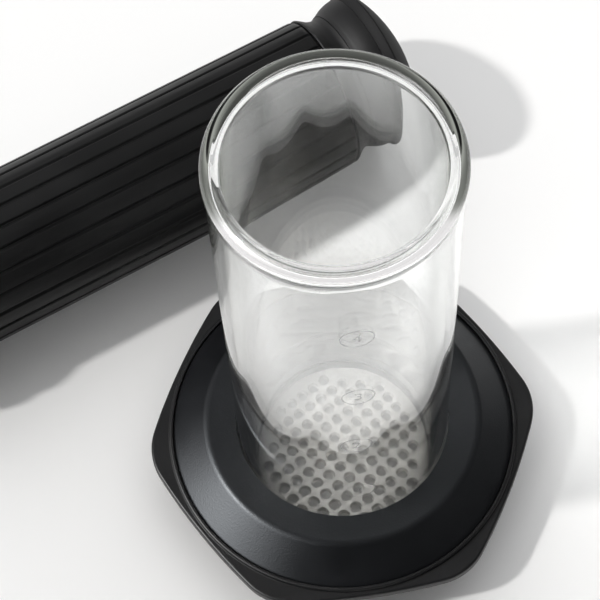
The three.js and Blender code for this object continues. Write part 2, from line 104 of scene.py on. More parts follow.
# Filter disc; a hole's wall is painted dark, as shade, down to HOLE_SHADE below the top
DISC = 36.6
DISC_LOW = 3.0
DISC_TOP = 5.0
DISC_EDGE = 0.14
HOLE = 1.9
HOLE_LOW = 1.55
HOLE_SHADE = 1.1
HOLE_PITCH = 4.87
HOLE_FIELD = 27.0
LATTICE_TURN = math.radians(36)

# Plunger, measured along its axis from the seal's face
SLEEVE_START = 23.3
SLEEVE_END = 182.8
SLEEVE_BORE = 24.3
RIB = 27.0
RIB_COUNT = 24
RIB_CROWN = 0.06
RIB_END_LENGTH = 2.2
RIB_END_DROP = 1.2
GROOVE_WIDTH = 1.35
GROOVE_DEPTH = 0.9
FIRST_GROOVE = math.radians(-3)
COLLAR_START = 183.1
COLLAR_END = 191.5
COLLAR_WEB = 3.0
COLLAR_RIM = 26.7
COLLAR_PLUG_IN = 20.2
COLLAR_PLUG_OUT = 22.0
COLLAR_PLUG_START = 176.0
TRUMPET_START = 191.8
TRUMPET_END = 199.8
TRUMPET_FLOOR = 2.0
TRUMPET_FOOT = 24.5
TRUMPET_BORE = 23.05
CAP_START = 200.1
CAP_RIM = 27.4
CAP_SHELL = 2.0
SNAP_IN = 21.15
SNAP_OUT = 22.75
SNAP_LENGTH = 3.4
FLARE = 29.77
FLARE_RISE = 2.6
FLARE_EDGE = 0.5
DOME = 48.0
SEAL_BORE = 24.3
SEAL_FACE = 4.3
SEAL_END = 19.7

# How the plunger lies on the table, from the chamber's axis
PLUNGER_BEARING = math.radians(28.7)
PLUNGER_AWAY = 111.9
PLUNGER_NEAR = 124.75
PLUNGER_HEIGHT = 29.8

# Printed marks: (height on the glass, turn from the front)
MARKS = ((47.6, 0.146), (84.8, 0.115), (120.4, 0.138), (158.7, 0.134))
MARK_SIZE = 6.2
MARK_RING_IN = 4.55
MARK_RING_OUT = 4.95
MARK_LIFT = 0.05

# Painted glow in the glass, standing in for the light that it guides inside its walls, as seen in
# its lip and edges
WALL_LIGHT_TOP = 0.022
WALL_LIGHT_BACK = 0.13
WALL_LIGHT_FRONT = 0.14
LIP_LIGHT_FRONT = 0.27
WALL_TINT = (0.96, 1.0, 0.91, 1)
LIP_TINT = (1.0, 0.985, 0.985, 1)
# Where that painted glow changes: heights, and places before (minus) or behind the chamber's axis
FOOT_SPAN = (0.06, 0.1)
WALL_SPAN = (0.17, 0.11)
LIP_SPAN = (0.1, 0.14)
WALL_FRONT_SPAN = (0.012, -0.03)
LIP_FRONT_SPAN = (-0.003, -0.012)

# Painted light on the table that only the glass shows, straight through it and turned back by it;
# it stands in for brighter white surroundings
THROUGH_GLASS = 0.6
BACK_FROM_GLASS = 1.15
SHADE_SHARE = 0.25
FAR_SIDE_SHARE = 0.2
# Where that painted light comes in or fades, measured from the chamber's axis
SHADE_SPAN = (-0.076, -0.07)
BEHIND_SPAN = (0.0, 0.04)
BEFORE_SPAN = (0.0, -0.05)
THROUGH_SPAN = (0.055, 0.085)
TURNED_SPAN = (0.064, 0.094)
FADE_SPAN = (0.14, 0.2)

# Sun: its travel is a turn and a rise in degrees
SUN_STRENGTH = 1.45
SUN_WIDTH = math.radians(3.5)
SUN_TRAVEL = (8.4, -47)
SUN_COLOUR = (1.0, 0.985, 0.96)

# Sky: a base strength, then soft patches with turn and rise in degrees, focus and gain
LIT_SKY = (0.25, (90, 0, 1.0, 2.2))
MIRRORED_SKY = (0.06, (95, 50, 3.0, 0.36), (195, 32, 16.0, 11.0))
# The white room as it is seen, straight on and turned back by the glass
SEEN_SKY = 1.0
TURNED_SKY = 0.6

# Camera, fitted to the rim and the flange
CAMERA_PLACE = (0, -0.2702, 0.6534)
CAMERA_PITCH = 1.106
CAMERA_YAW = -0.042
CAMERA_ROLL = -0.069
PHOTO_WIDTH = 600
FOCAL_PIXELS = 2048.75
SENSOR = 36


def middle(node):
    low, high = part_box(node)
    return (Vector(low) + Vector(high)) / 2


STAND = Matrix.Translation((middle("glass_chamber").x, middle("glass_chamber").y, 0))
LAID = (
    STAND
    @ Matrix.Rotation(PLUNGER_BEARING, 4, "Z")
    @ Matrix.Translation((-PLUNGER_NEAR * MM, PLUNGER_AWAY * MM, PLUNGER_HEIGHT * MM))
    @ Matrix.Rotation(math.pi / 2, 4, "Y")
)


# Profiles: lists of (radius, height)

def arc(cx, cz, radius, start, end, steps, rise=None):
    """Points round an arc, or round an ellipse where the rise differs from the radius."""
    rise = radius if rise is None else rise
    turn = (end - start) / steps
    return [
        (cx + radius * math.cos(start + turn * i), cz + rise * math.sin(start + turn * i))
        for i in range(steps + 1)
    ]


def flowing(points, steps):
    """A smooth run through measured points."""
    ends = [points[0]] + list(points) + [points[-1]]
    run = []
    for i in range(1, len(ends) - 2):
        a, b, c, d = (Vector(p) for p in ends[i - 1:i + 3])
        for k in range(steps):
            t = k / steps
            run.append(tuple(0.5 * (
                2 * b + (c - a) * t + (2 * a - 5 * b + 4 * c - d) * t ** 2
                + (3 * b - a - 3 * c + d) * t ** 3
            )))
    run.append(tuple(points[-1]))
    return run


def held(rows):
    """Adds a row close to each end of a long straight run, so that it stays straight."""
    result = []
    for i, row in enumerate(rows):
        result.append(row)
        if i + 1 == len(rows):
            break
        after = rows[i + 1]
        span = max(math.dist(p, q) for p, q in zip(row, after))
        if span > 4 * HOLD:
            for share in (HOLD / span, 1 - HOLD / span):
                result.append([
                    tuple(a + (b - a) * share for a, b in zip(p, q)) for p, q in zip(row, after)
                ])
    return result


def quarter(steps):
    return [math.pi / 2 * k / steps for k in range(steps + 1)]


def round_ring(radius, steps, centre=(0, 0)):
    """Points evenly round a circle in plan."""
    turns = (2 * math.pi * i / steps for i in range(steps))
    return [(centre[0] + radius * math.cos(a), centre[1] + radius * math.sin(a)) for a in turns]


# Meshes

def finished(name, bm, place, crease=32):
    bmesh.ops.remove_doubles(bm, verts=bm.verts, dist=1e-7)
    bmesh.ops.recalc_face_normals(bm, faces=bm.faces)
    mesh = bpy.data.meshes.new(name)
    bm.to_mesh(mesh)
    bm.free()
    mesh.transform(place)
    mesh.shade_smooth()
    mesh.set_sharp_from_angle(angle=math.radians(crease))
    thing = bpy.data.objects.new(name, mesh)
    bpy.context.scene.collection.objects.link(thing)
    return thing


def turned(name, profile, place, steps=SLIM_STEPS, crease=32):
    """Turns a profile about the axis. It closes on itself or ends on the axis."""
    bm = bmesh.new()
    if profile[0][0] != 0:
        profile = [*profile, profile[0]]
    rings = []
    for (radius, height), in held([[point] for point in profile]):
        if radius < 1e-9:
            rings.append([bm.verts.new((0, 0, height * MM))])
            continue
        rings.append([
            bm.verts.new((
                radius * MM * math.cos(2 * math.pi * i / steps),
                radius * MM * math.sin(2 * math.pi * i / steps),
                height * MM,
            ))
            for i in range(steps)
        ])
    for low, high in zip(rings, rings[1:]):
        for i in range(steps):
            j = (i + 1) % steps
            loop = [
                low[i % len(low)], low[j % len(low)], high[j % len(high)], high[i % len(high)]
            ]
            face = [v for k, v in enumerate(loop) if v not in loop[:k]]
            if len(face) > 2:
                bm.faces.new(face)
    return finished(name, bm, place, crease)


def stacked(name, rings, place, crease):
    """Joins rings of points of one count, and the last ring to the first."""
    bm = bmesh.new()
    rings = held([*rings, rings[0]])
    rows = [[bm.verts.new([c * MM for c in point]) for point in ring] for ring in rings]
    for low, high in zip(rows, rows[1:]):
        for i in range(len(low)):
            j = (i + 1) % len(low)
            bm.faces.new((low[i], low[j], high[j], high[i]))
    return finished(name, bm, place, crease)


def glass_tube():
    """Two walls that are one at the rolled lip, with a space open at the foot between them."""
    crown = LIP - LIP_ROUND
    lip_start = LIP_BLEND - math.acos((GLASS - crown) / LIP_ROUND)
    space = (OUTER_SPACE - INNER_WALL) / 2
    profile = [
        *arc(BORE + FOOT_ROUND_IN, GLASS_FOOT + FOOT_ROUND_IN, FOOT_ROUND_IN,
             math.pi, 2 * math.pi, 10),
        *arc(INNER_WALL + space, CHAMBER_TOP - LIP_DEPTH - space, space, math.pi, 0, 12),
        *arc(GLASS - FOOT_ROUND_OUT, GLASS_FOOT + FOOT_ROUND_OUT, FOOT_ROUND_OUT,
             math.pi, 2 * math.pi, 10),
        *((GLASS + outwards, CHAMBER_TOP - below) for below, outwards in LIP_SWELL),
        *arc(crown, CHAMBER_TOP - LIP_ROUND, LIP_ROUND, lip_start, math.pi / 2, 18)[:-1],
        *arc(crown, CHAMBER_TOP - LIP_INNER_FALL, crown - BORE, math.pi / 2, math.pi, 18,
             rise=LIP_INNER_FALL),
    ]
    return turned("glass_tube", profile, STAND, WIDE_STEPS, crease=60)


def plate_outline(inset, side_steps=20, corner_steps=18):
    """Arched sides and round corners, moved inwards by the inset."""
    side_centre = SIDE_DISTANCE - SIDE_ARCH
    half = math.pi / 6
    reach = SIDE_ARCH - CORNER_ROUND
    across = side_centre * math.sin(half)
    corner_centre = side_centre * math.cos(half) + math.sqrt(reach ** 2 - across ** 2)
    meet = math.atan2(
        corner_centre * math.sin(half), corner_centre * math.cos(half) - side_centre
    )
    points = []
    for k in range(6):
        normal = PLATE_TURN + 2 * half * k
        corner = normal + half
        side = arc(
            side_centre * math.cos(normal), side_centre * math.sin(normal),
            SIDE_ARCH - inset, normal - meet, normal + meet, side_steps,
        )
        turn = arc(
            corner_centre * math.cos(corner), corner_centre * math.sin(corner),
            CORNER_ROUND - inset, normal + meet, corner + half - meet, corner_steps,
        )
        points += side[:-1] + turn[:-1]
    return points


def flange_plate():
    """The hexagonal plate with its upstanding ring, and rounded edges above and below."""
    angles = [math.atan2(y, x) for x, y in plate_outline(0)]

    def circle(radius, height):
        return [(radius * math.cos(a), radius * math.sin(a), height) for a in angles]

    def edge(inset, height):
        return [(x, y, height) for x, y in plate_outline(inset)]

    round_rows = [
        (PLATE_BORE + 0.3, PLATE_LOW), (PLATE_BORE, PLATE_LOW + 0.3),
        (PLATE_BORE, PLATE_TOP - 0.2), (PLATE_BORE + 0.2, PLATE_TOP),
        (LIP_RING_IN - 0.1, PLATE_TOP), (LIP_RING_IN, PLATE_TOP + 0.1),
        (LIP_RING_IN, LIP_RING_TOP - 0.25), (LIP_RING_IN + 0.08, LIP_RING_TOP - 0.08),
        (LIP_RING_IN + 0.25, LIP_RING_TOP), (LIP_RING_OUT - 0.55, LIP_RING_TOP),
        (LIP_RING_OUT - 0.28, LIP_RING_TOP - 0.08), (LIP_RING_OUT - 0.08, LIP_RING_TOP - 0.28),
        (LIP_RING_OUT, LIP_RING_TOP - 0.55), (LIP_RING_OUT, PLATE_TOP + 0.3),
        (LIP_RING_OUT + 0.1, PLATE_TOP + 0.08), (LIP_RING_OUT + 0.3, PLATE_TOP),
    ]
    rings = [circle(radius, height) for radius, height in round_rows]
    for a in quarter(6):
        rings.append(edge(PLATE_EDGE * (1 - math.sin(a)),
                          PLATE_TOP - PLATE_EDGE * (1 - math.cos(a))))
    for a in quarter(6):
        rings.append(edge(PLATE_EDGE * (1 - math.cos(a)),
                          PLATE_LOW + PLATE_EDGE * (1 - math.sin(a))))
    return stacked("flange_plate", rings, STAND, crease=40)


def flange_dome():
    """The cone from its foot over the crest, down the dip to the glass, and its underside."""
    centre = CONE_TOP - CONE_BEND
    run, fall = CONE_FOOT - CONE_CREST, CONE_FOOT_TOP - centre
    slope = math.atan2(fall, run) + math.acos(CONE_BEND / math.hypot(run, fall))
    profile = [
        *arc(CONE_FOOT - CONE_FOOT_ROUND, CONE_FOOT_TOP - 0.35, CONE_FOOT_ROUND, 0, slope, 6),
        *arc(CONE_CREST, centre, CONE_BEND, slope, math.pi / 2, 18),
        CONE_DIP,
        *arc(CONE_MOUTH + CONE_MOUTH_ROUND, CONE_MOUTH_TOP, CONE_MOUTH_ROUND,
             math.pi / 2, math.pi, 6),
        (CONE_MOUTH, CONE_ROOF + 0.05),
        (CONE_NECK_IN, CONE_ROOF),
        (CONE_NECK_IN, CONE_SEAT),
        (CONE_NECK_OUT, CONE_SEAT),
        (CONE_NECK_OUT, CONE_ROOF),
        (CONE_CREST, CONE_ROOF),
        (CONE_SKIN_FOOT, CONE_SEAT),
        (CONE_FOOT, CONE_SEAT),
    ]
    return turned("flange_dome", profile, STAND, WIDE_STEPS, crease=30)


def hole_centres():
    """A square lattice of places inside the field."""
    span = math.ceil(HOLE_FIELD / HOLE_PITCH)
    turn = Matrix.Rotation(LATTICE_TURN, 2)
    centres = []
    for row in range(-span, span + 1):
        for column in range(-span, span + 1):
            spot = Vector((row, column)) * HOLE_PITCH
            if spot.length <= HOLE_FIELD:
                spot.rotate(turn)
                centres.append(spot)
    return centres


def perforated_disc():
    """A flat disc with real holes, which narrow a little downwards. Their walls take slot 1."""
    rim_steps, hole_steps = 96, 28
    rim = round_ring(DISC, rim_steps)
    centres = hole_centres()

    def hole(centre, radius):
        return round_ring(radius, hole_steps, centre)

    loops = [rim] + [hole(c, HOLE + DISC_EDGE) for c in centres]
    flat = [Vector(p) for loop in loops for p in loop]
    index, faces = 0, []
    for loop in loops:
        faces.append(list(range(index, index + len(loop))))
        index += len(loop)
    verts, _, triangles, origins, _, _ = delaunay_2d_cdt(flat, [], faces, 2, 1e-6)
    bm = bmesh.new()
    place = {}
    for side, height in (("top", DISC_TOP), ("low", DISC_LOW)):
        made = [bm.verts.new((v.x * MM, v.y * MM, height * MM)) for v in verts]
        for i, sources in enumerate(origins):
            for source in sources:
                place[side, source] = made[i]
        for triangle in triangles:
            bm.faces.new([made[i] for i in triangle])
    for k, loop in enumerate(faces):
        wall = []
        for height, radius in ((DISC_TOP - DISC_EDGE, HOLE), (DISC_LOW + DISC_EDGE, HOLE_LOW)):
            points = rim if k == 0 else hole(centres[k - 1], radius)
            wall.append([bm.verts.new((x * MM, y * MM, height * MM)) for x, y in points])
        rows = [[place["top", i] for i in loop], *wall, [place["low", i] for i in loop]]
        for upper, lower in zip(rows, rows[1:]):
            for i in range(len(loop)):
                j = (i + 1) % len(loop)
                side = bm.faces.new((upper[i], upper[j], lower[j], lower[i]))
                side.material_index = int(k > 0 and upper is wall[0])
    return finished("perforated_disc", bm, STAND, crease=25)


def ribbed_grip():
    """Crowned ribs with grooves between them, rounded at both ends of the sleeve."""
    pitch = 2 * math.pi / RIB_COUNT
    half = GROOVE_WIDTH / RIB / 2
    floor = RIB - GROOVE_DEPTH
    groove = [(-half * 0.45, floor + 0.08), (0.0, floor), (half * 0.45, floor + 0.08)]
    wall = [(0.8, floor + 0.35), (0.95, RIB - 0.3), (1.15, RIB - 0.12), (1.5, RIB - 0.04)]
    crown_steps = 6
    crown = []
    for k in range(crown_steps + 1):
        t = k / crown_steps
        crown.append((
            half * 2.1 + (pitch - 4.2 * half) * t, RIB - RIB_CROWN * (2 * t - 1) ** 2
        ))
    section = [
        *groove,
        *((half * share, radius) for share, radius in wall),
        *crown,
        *((pitch - half * share, radius) for share, radius in reversed(wall)),
    ]

    def ring(height, drop):
        points = []
        for k in range(RIB_COUNT):
            for angle, radius in section:
                r = min(radius, RIB - drop)
                a = FIRST_GROOVE + pitch * k + angle
                points.append((r * math.cos(a), r * math.sin(a), height))
        return points

    def bore(height):
        count = len(section) * RIB_COUNT
        turns = (2 * math.pi * i / count + FIRST_GROOVE - half for i in range(count))
        return [(SLEEVE_BORE * math.cos(a), SLEEVE_BORE * math.sin(a), height) for a in turns]

    ends = [(RIB_END_LENGTH * (1 - math.cos(a)), RIB_END_DROP * (1 - math.sin(a)))
            for a in quarter(7)]
    rings = [
        bore(SLEEVE_START),
        *(ring(SLEEVE_START + along, drop) for along, drop in ends),
        *(ring(SLEEVE_END - along, drop) for along, drop in reversed(ends)),
        bore(SLEEVE_END),
    ]
    return stacked("ribbed_grip", rings, LAID, crease=38)


def shoulder_collar():
    """The smooth shoulder and neck above the ribs, with its plug in the sleeve."""
    s = COLLAR_START
    outer = flowing([
        (26.95, s + 0.35), (26.5, s + 1.2), (25.55, s + 2.6), (24.75, s + 3.9), (24.3, s + 5.2),
        (24.05, s + 6.4), (24.2, s + 7.3), (24.65, COLLAR_END - 0.1),
    ], 5)
    web = COLLAR_END - COLLAR_WEB
    profile = [
        (0, web), (COLLAR_PLUG_IN, web), (COLLAR_PLUG_IN, COLLAR_PLUG_START),
        (COLLAR_PLUG_OUT, COLLAR_PLUG_START), (COLLAR_PLUG_OUT, s), (COLLAR_RIM, s),
        *outer, (24.7, COLLAR_END), (0, COLLAR_END),
    ]
    return turned("shoulder_collar", profile, LAID)


def trumpet_flare():
    """The hollow curve that widens from the neck."""
    s = TRUMPET_START
    outer = flowing([
        (24.86, s - 0.14), (25.35, s + 1.0), (25.94, s + 2.0), (26.82, s + 4.0), (27.38, s + 6.0),
        (27.7, TRUMPET_END + 0.1),
    ], 6)
    profile = [
        (0, s), (TRUMPET_FOOT, s), *outer, (TRUMPET_BORE, TRUMPET_END),
        (TRUMPET_BORE, s + TRUMPET_FLOOR), (0, s + TRUMPET_FLOOR),
    ]
    return turned("trumpet_flare", profile, LAID)


def domed_end():
    """The cap with its sharp widest edge, a hollow dome and a snap ring inside the trumpet."""
    flare_at = CAP_START + FLARE_RISE
    edge_top = flare_at + FLARE_EDGE
    centre = edge_top - math.sqrt(DOME ** 2 - (FLARE - 0.12) ** 2)
    start = math.asin((edge_top - centre) / DOME)
    dome = arc(0, centre, DOME, start, math.pi / 2, 26)
    dome[-1] = (0, dome[-1][1])
    inside = DOME - CAP_SHELL
    shell = arc(0, centre, inside, math.pi / 2, math.acos(SNAP_IN / inside), 12)
    shell[0] = (0, shell[0][1])
    outer = flowing([
        (27.74, CAP_START - 0.1), (28.1, CAP_START + 0.6), (28.6, CAP_START + 1.3),
        (29.2, CAP_START + 2.0), (29.66, flare_at - 0.15),
    ], 5)
    profile = [
        *shell, (SNAP_IN, CAP_START - SNAP_LENGTH), (SNAP_OUT, CAP_START - SNAP_LENGTH),
        (SNAP_OUT, CAP_START), (CAP_RIM, CAP_START), *outer, (FLARE - 0.02, flare_at + 0.08),
        (FLARE, flare_at + 0.22), (FLARE - 0.03, flare_at + 0.36), *dome,
    ]
    return turned("domed_end", profile, LAID)


def silicone_seal():
    """The seal's bowed face, its two lips with a waist between them, and its pocket."""
    face = flowing([
        (0, 0.0), (8.0, 0.1), (16.0, 0.5), (22.0, 1.15), (25.6, 2.0), (27.4, 2.7), (28.6, 3.1),
        (29.5, 3.5), (29.75, 4.2), (29.7, 5.0), (29.2, 5.8), (28.95, 6.6), (28.9, 8.6),
        (28.9, 11.0), (28.95, 13.2), (29.3, 14.2), (29.7, 15.0), (29.7, 16.1), (29.3, 16.9),
        (28.6, 18.2), (28.0, 19.6),
    ], 4)
    profile = [
        *face, (27.8, SEAL_END), (SEAL_BORE + 0.1, SEAL_END), (SEAL_BORE, SEAL_END - 0.1),
        (SEAL_BORE, SEAL_FACE), (0, SEAL_FACE),
    ]
    return turned("silicone_seal", profile, LAID)


def level_mark(number, height, turn):
    """A plain number in a ring, drawn flat and then bent onto the front of the glass."""
    words = bpy.data.curves.new(f"level_{number}", "FONT")
    words.body = str(number)
    words.size = MARK_SIZE
    words.align_x = "CENTER"
    words.align_y = "CENTER"
    words.resolution_u = 3
    drawn = bpy.data.objects.new("drawn", words)
    bpy.context.scene.collection.objects.link(drawn)
    bpy.context.view_layer.update()
    bm = bmesh.new()
    bm.from_mesh(bpy.data.meshes.new_from_object(drawn))
    bpy.data.objects.remove(drawn)
    bmesh.ops.triangulate(bm, faces=bm.faces)
    steps = 56
    inner, outer = (
        [bm.verts.new((x, y, 0)) for x, y in round_ring(radius, steps)]
        for radius in (MARK_RING_IN, MARK_RING_OUT)
    )
    for i in range(steps):
        j = (i + 1) % steps
        bm.faces.new((inner[i], inner[j], outer[j], outer[i]))
    name = f"level_mark_{number}"
    mesh = bpy.data.meshes.new(name)
    bm.to_mesh(mesh)
    bm.free()
    radius = GLASS + MARK_LIFT
    for v in mesh.vertices:
        v.co.x += turn * GLASS
        along = v.co.x / radius - math.pi / 2
        r = (radius + v.co.z) * MM
        v.co = (r * math.cos(along), r * math.sin(along), (height + v.co.y) * MM)
    mesh.transform(STAND)
    thing = bpy.data.objects.new(name, mesh)
    bpy.context.scene.collection.objects.link(thing)
    return thing


# Finishes: shared effects as node groups, one material for each finish

def new_group(name, inputs, outputs):
    group = bpy.data.node_groups.new(name, "ShaderNodeTree")
    for label, value in inputs:
        socket = group.interface.new_socket(label, in_out="INPUT", socket_type="NodeSocketFloat")
        socket.default_value = value
    for label in outputs:
        group.interface.new_socket(label, in_out="OUTPUT", socket_type="NodeSocketFloat")
    source = group.nodes.new("NodeGroupInput")
    sink = group.nodes.new("NodeGroupOutput")
    return group, source, sink


def add(tree, kind, **values):
    node = tree.nodes.new(kind)
    for key, value in values.items():
        setattr(node, key, value)
    return node


def feed(tree, socket, value):
    """Links a socket to another one, or sets it to a value."""
    if isinstance(value, bpy.types.NodeSocket):
        tree.links.new(value, socket)
    else:
        socket.default_value = value


def maths(tree, operation, *values):
    node = add(tree, "ShaderNodeMath", operation=operation)
    for socket, value in zip(node.inputs, values):
        feed(tree, socket, value)
    return node.outputs["Value"]


def vector_maths(tree, operation, *values):
    node = add(tree, "ShaderNodeVectorMath", operation=operation)
    for socket, value in zip(node.inputs, values):
        feed(tree, socket, value)
    return node.outputs


def spread(tree, value, span, low=0.0, high=1.0):
    """Maps a value from the two ends of a span to low and high."""
    node = add(tree, "ShaderNodeMapRange")
    feed(tree, node.inputs["Value"], value)
    labels = ("From Min", "From Max", "To Min", "To Max")
    for label, end in zip(labels, (*span, low, high)):
        feed(tree, node.inputs[label], end)
    return node.outputs["Result"]


def mixed(tree, factor, first, second):
    """Mixes two colours."""
    node = add(tree, "ShaderNodeMix", data_type="RGBA")
    for label, value in (("Factor", factor), ("A", first), ("B", second)):
        feed(tree, node.inputs[label], value)
    return node.outputs["Result"]


def either(tree, factor, first, second):
    """Mixes two shaders."""
    node = add(tree, "ShaderNodeMixShader")
    for socket, value in zip(node.inputs, (factor, first, second)):
        feed(tree, socket, value)
    return node.outputs["Shader"]


def position(tree):
    """Where a point lies in the object's own coordinates."""
    place = add(tree, "ShaderNodeTexCoord")
    split = add(tree, "ShaderNodeSeparateXYZ")
    tree.links.new(place.outputs["Object"], split.inputs["Vector"])
    return split.outputs


def blasted_grain():
    """Fine grain from blasting: a height, and a mask that varies slowly."""
    group, source, sink = new_group(
        "blasted grain", [("Scale", 2600.0), ("Slow scale", 60.0)], ["Height", "Mask"],
    )
    place = add(group, "ShaderNodeTexCoord")
    fine = add(group, "ShaderNodeTexNoise")
    fine.inputs["Detail"].default_value = 3
    slow = add(group, "ShaderNodeTexNoise")
    slow.inputs["Detail"].default_value = 2
    link = group.links.new
    link(place.outputs["Object"], fine.inputs["Vector"])
    link(place.outputs["Object"], slow.inputs["Vector"])
    link(source.outputs["Scale"], fine.inputs["Scale"])
    link(source.outputs["Slow scale"], slow.inputs["Scale"])
    link(fine.outputs["Fac"], sink.inputs["Height"])
    link(slow.outputs["Fac"], sink.inputs["Mask"])
    return group


def fine_specks():
    """Sparse specks of dust."""
    group, source, sink = new_group(
        "fine specks", [("Scale", 900.0), ("Amount", 0.05)], ["Mask"],
    )
    place = add(group, "ShaderNodeTexCoord")
    cells = add(group, "ShaderNodeTexVoronoi")
    link = group.links.new
    link(place.outputs["Object"], cells.inputs["Vector"])
    link(source.outputs["Scale"], cells.inputs["Scale"])
    near = maths(group, "LESS_THAN", cells.outputs["Distance"], source.outputs["Amount"])
    link(near, sink.inputs["Mask"])
    return group


GRAIN = blasted_grain()
SPECKS = fine_specks()
UNEVEN = (0.3, 0.7)
DUST = (0.1, 0.1, 0.105, 1)
BUMP_DISTANCE = 0.0001


def use(tree, group, **values):
    node = add(tree, "ShaderNodeGroup", node_tree=group)
    for key, value in values.items():
        node.inputs[key.replace("_", " ")].default_value = value
    return node


def plain_material(name):
    material = bpy.data.materials.new(name)
    material.use_nodes = True
    return material, material.node_tree, material.node_tree.nodes["Principled BSDF"]


def grained(name, deep, pale, rough, grain, bump, metallic=0.0, slow=60.0, specks=0.0,
            specular=0.5, specular_tint=(1, 1, 1)):
    """A matte or satin surface with grain, a little unevenness and dust."""
    material, tree, shader = plain_material(name)
    link = tree.links.new
    effect = use(tree, GRAIN, Scale=grain, Slow_scale=slow)
    uneven = spread(tree, effect.outputs["Mask"], UNEVEN)
    colour = mixed(tree, uneven, (*deep, 1), (*pale, 1))
    if specks:
        dust = use(tree, SPECKS, Amount=specks)
        colour = mixed(tree, dust.outputs["Mask"], colour, DUST)
    link(colour, shader.inputs["Base Color"])
    link(spread(tree, effect.outputs["Mask"], UNEVEN, *rough), shader.inputs["Roughness"])
    relief = add(tree, "ShaderNodeBump")
    relief.inputs["Strength"].default_value = bump
    relief.inputs["Distance"].default_value = BUMP_DISTANCE
    link(effect.outputs["Height"], relief.inputs["Height"])
    link(relief.outputs["Normal"], shader.inputs["Normal"])
    shader.inputs["Metallic"].default_value = metallic
    shader.inputs["Specular IOR Level"].default_value = specular
    shader.inputs["Specular Tint"].default_value = (*specular_tint, 1)
    return material


def guided_light(tree, path):
    """Strength and tint of a painted glow for the light that travels inside the glass, by place.

    Only rays that have turned back three times inside the walls pick it up.
    """
    place = position(tree)
    axis = STAND.translation.y
    wall_front, lip_front = (
        [axis + y for y in span] for span in (WALL_FRONT_SPAN, LIP_FRONT_SPAN)
    )
    back = spread(tree, place["Z"], WALL_SPAN, WALL_LIGHT_TOP, WALL_LIGHT_BACK)
    walls = spread(tree, place["Y"], wall_front, back, WALL_LIGHT_FRONT)
    upper = spread(tree, place["Z"], LIP_SPAN, 0.0, LIP_LIGHT_FRONT)
    lip = spread(tree, place["Y"], lip_front, 0.0, upper)
    brighter = maths(tree, "MAXIMUM", walls, lip)
    turned_back = spread(tree, path.outputs["Glossy Depth"], (2.0, 3.0), 0.0, brighter)
    strength = maths(tree, "MULTIPLY", turned_back, spread(tree, place["Z"], FOOT_SPAN))
    tint = mixed(tree, spread(tree, place["Y"], lip_front), WALL_TINT, LIP_TINT)
    return strength, tint


def clear_glass():
    """Borosilicate glass with a painted glow in its walls; lamps shine through it and lose a
    little at its edges.
    """
    material, tree, shader = plain_material("borosilicate glass")
    link = tree.links.new
    effect = use(tree, GRAIN, Scale=900.0, Slow_scale=25.0)
    tint = mixed(tree, effect.outputs["Mask"], (0.99, 0.993, 0.991, 1), (0.974, 0.98, 0.976, 1))
    link(tint, shader.inputs["Base Color"])
    shader.inputs["Roughness"].default_value = 0.0
    shader.inputs["IOR"].default_value = 1.474
    shader.inputs["Transmission Weight"].default_value = 1.0
    path = add(tree, "ShaderNodeLightPath")
    strength, painted_glow_tint = guided_light(tree, path)
    # Painted glow: emission stands in for light guided inside the walls, brighter at the front and
    # in the lip
    link(strength, shader.inputs["Emission Strength"])
    link(painted_glow_tint, shader.inputs["Emission Color"])
    edge = add(tree, "ShaderNodeLayerWeight")
    edge.inputs["Blend"].default_value = 0.25
    shadow = add(tree, "ShaderNodeBsdfTransparent")
    link(mixed(tree, edge.outputs["Facing"], (0.985, 0.985, 0.985, 1), (0.55, 0.56, 0.56, 1)),
         shadow.inputs["Color"])
    surface = either(tree, path.outputs["Is Shadow Ray"], shader.outputs["BSDF"],
                     shadow.outputs["BSDF"])
    link(surface, tree.nodes["Material Output"].inputs["Surface"])
    return material


def hole_wall():
    """Steel inside the holes painted dark at the top as shade, and a little paler towards the
    table as painted light.
    """
    material = grained("steel with painted shade in the holes", (0.008, 0.0078, 0.0075), (0.012, 0.0116, 0.011),
                       rough=(0.5, 0.6), grain=1400.0, bump=0.1, specular=0.2)
    tree = material.node_tree
    colour = tree.nodes["Principled BSDF"].inputs["Base Color"]
    # Painted shade at the top of each hole's wall, painted light lower down
    depth = spread(tree, position(tree)["Z"], ((DISC_TOP - HOLE_SHADE) * MM, DISC_LOW * MM))
    painted_paler = mixed(tree, depth, colour.links[0].from_socket, (0.05, 0.047, 0.043, 1))
    tree.links.new(painted_paler, colour)
    return material


def printed_mark():
    material = grained("printed mark", (0.42, 0.43, 0.43), (0.5, 0.5, 0.5),
                       rough=(0.5, 0.6), grain=3000.0, bump=0.05)
    material.node_tree.nodes["Principled BSDF"].inputs["Alpha"].default_value = 0.4
    return material


